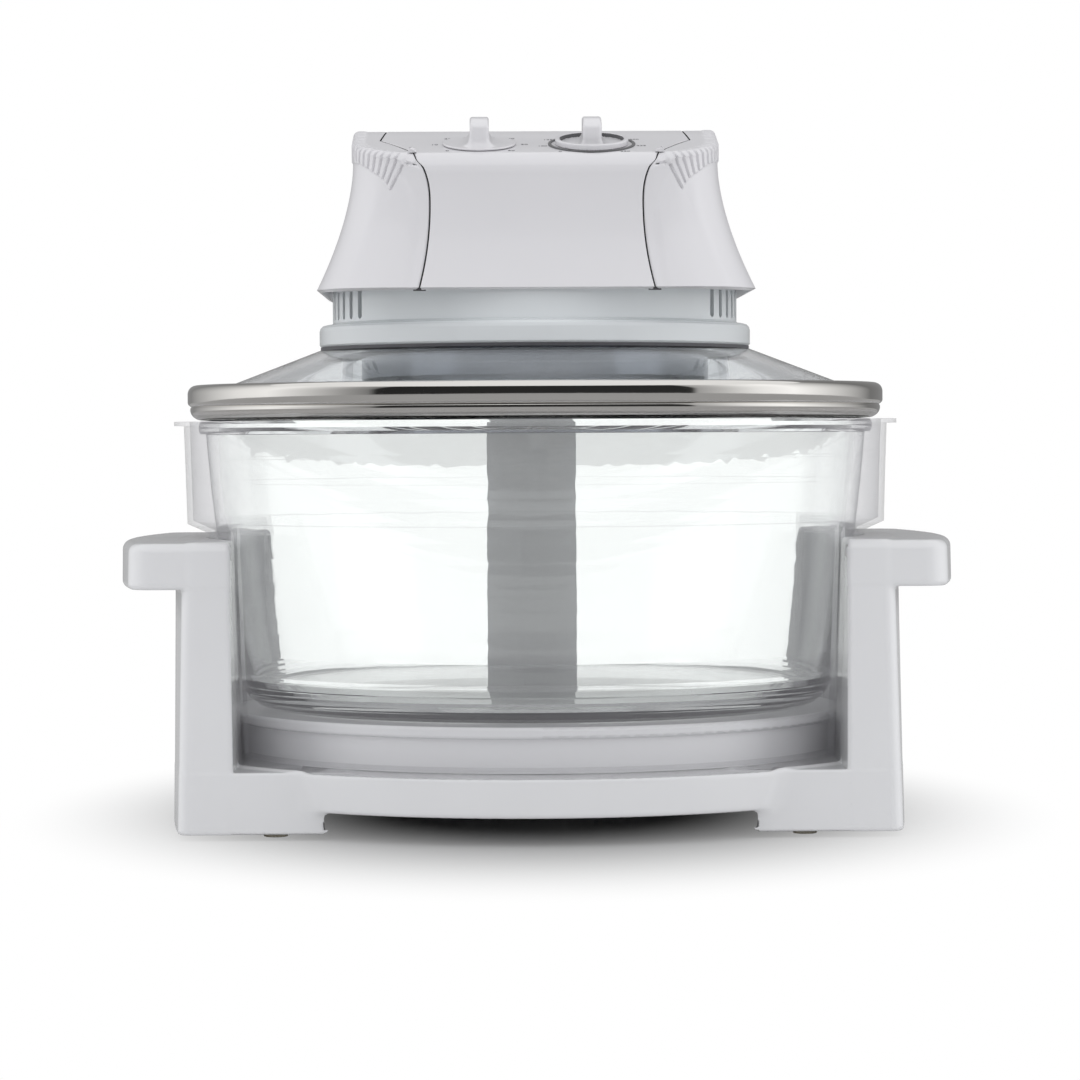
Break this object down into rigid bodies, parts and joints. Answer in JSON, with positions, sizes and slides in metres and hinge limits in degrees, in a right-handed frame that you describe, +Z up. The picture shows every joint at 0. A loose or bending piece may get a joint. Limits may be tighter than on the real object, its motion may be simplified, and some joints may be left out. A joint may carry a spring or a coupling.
{
  "type": "halogen oven",
  "caption": "Countertop halogen oven: glass bowl in a clear tub on a white base with side handles, under a rear-hinged glass lid with a heater and fan head.",
  "frame": {"origin": "on the floor, at the centre of the part's footprint (bounding box bottom centre); the bowl's axis is 7.5 mm in front of it", "axes": "+Z up, -Y towards the user (front, with the knobs), +X to the right seen from the front"},
  "size_m": [0.392, 0.36, 0.3286],
  "materials": {
    "white_plastic": "glossy moulded white",
    "head_plastic": "glossy moulded white with a faint lavender tone",
    "neck_plastic": "glossy cool white",
    "knob_plastic": "glossy moulded white",
    "clear_plastic": "clear polycarbonate with lavender edges",
    "bowl_glass": "clear heat-proof glass, slightly green in its thick base",
    "lid_glass": "clear toughened glass",
    "lamp_glass": "clear quartz tube",
    "cream_rubber": "matte cream",
    "grey_silicone": "matte dark grey",
    "polished_steel": "polished stainless steel",
    "mirror_steel": "bright stamped steel",
    "brushed_steel": "satin",
    "steel": "zinc plated",
    "laminated_iron": "varnished laminations",
    "copper": "enamelled copper",
    "bronze": "sintered bronze",
    "ceramic": "unglazed cream",
    "dark_ring": "dark grey",
    "black_plastic": "black",
    "fan_plastic": "grey white"
  },
  "bodies": {
    "base": {"base_frame": "white_plastic", "cool_touch_tub": "clear_plastic", "bowl_seat": "white_plastic", "glass_bowl": "bowl_glass", "foot_pads": "cream_rubber", "seat_screws": "steel", "hinge_post": "white_plastic", "post_screws": "steel", "hinge_pin": "steel"},
    "lid": {"lid_glass": "lid_glass", "lid_rim": "polished_steel", "lid_gasket": "grey_silicone", "hinge_strap": "brushed_steel", "strap_rivets": "steel", "neck_gasket": "grey_silicone", "neck_housing": "neck_plastic", "reflector_dish": "mirror_steel", "dish_screws": "steel", "heater_lamp": "lamp_glass", "lamp_holders": "ceramic", "fan_guard": "steel", "heat_shield": "brushed_steel", "motor_bracket": "brushed_steel", "bracket_screws": "steel", "motor_core": "laminated_iron", "motor_coil": "copper", "lower_bearing": "bronze", "upper_bearing": "bronze", "centre_cover": "head_plastic", "left_cover": "head_plastic", "right_cover": "head_plastic", "cover_screws": "steel", "cord_gland": "grey_silicone", "terminal_block": "ceramic", "timer": "brushed_steel", "timer_bell": "bronze", "thermostat": "brushed_steel", "thermostat_bulb": "copper", "dial_ring": "dark_ring", "safety_switch": "black_plastic", "handle_pins": "steel"},
    "rotor": {"motor_shaft": "steel", "motor_rotor": "laminated_iron", "hot_air_fan": "brushed_steel", "fan_nut": "bronze", "cooling_fan": "fan_plastic"},
    "timer_dial": {"timer_knob": "knob_plastic", "timer_shaft": "steel"},
    "thermostat_dial": {"thermostat_knob": "knob_plastic", "thermostat_shaft": "steel"},
    "carry_handle": {"carry_handle": "head_plastic"}
  },
  "joints": [
    {"name": "lid_hinge", "type": "hinge", "parent": "base", "child": "lid", "pos_m": [0, 0.1735, 0.1987], "axis": [-1, 0, 0], "range_deg": [0, 85]},
    {"name": "fan_spin", "type": "hinge", "parent": "lid", "child": "rotor", "pos_m": [0, -0.0075, 0.25], "axis": [0, 0, 1], "continuous": true},
    {"name": "timer_turn", "type": "hinge", "parent": "lid", "child": "timer_dial", "pos_m": [-0.026, -0.0675, 0.3141], "axis": [0, 0.2588, -0.9659], "range_deg": [0, 300]},
    {"name": "thermostat_turn", "type": "hinge", "parent": "lid", "child": "thermostat_dial", "pos_m": [0.026, -0.0675, 0.3141], "axis": [0, 0.2588, -0.9659], "range_deg": [0, 285]},
    {"name": "carry_handle_fold", "type": "hinge", "parent": "lid", "child": "carry_handle", "pos_m": [0, 0.0525, 0.3184], "axis": [-1, 0, 0], "range_deg": [0, 90]}
  ]
}
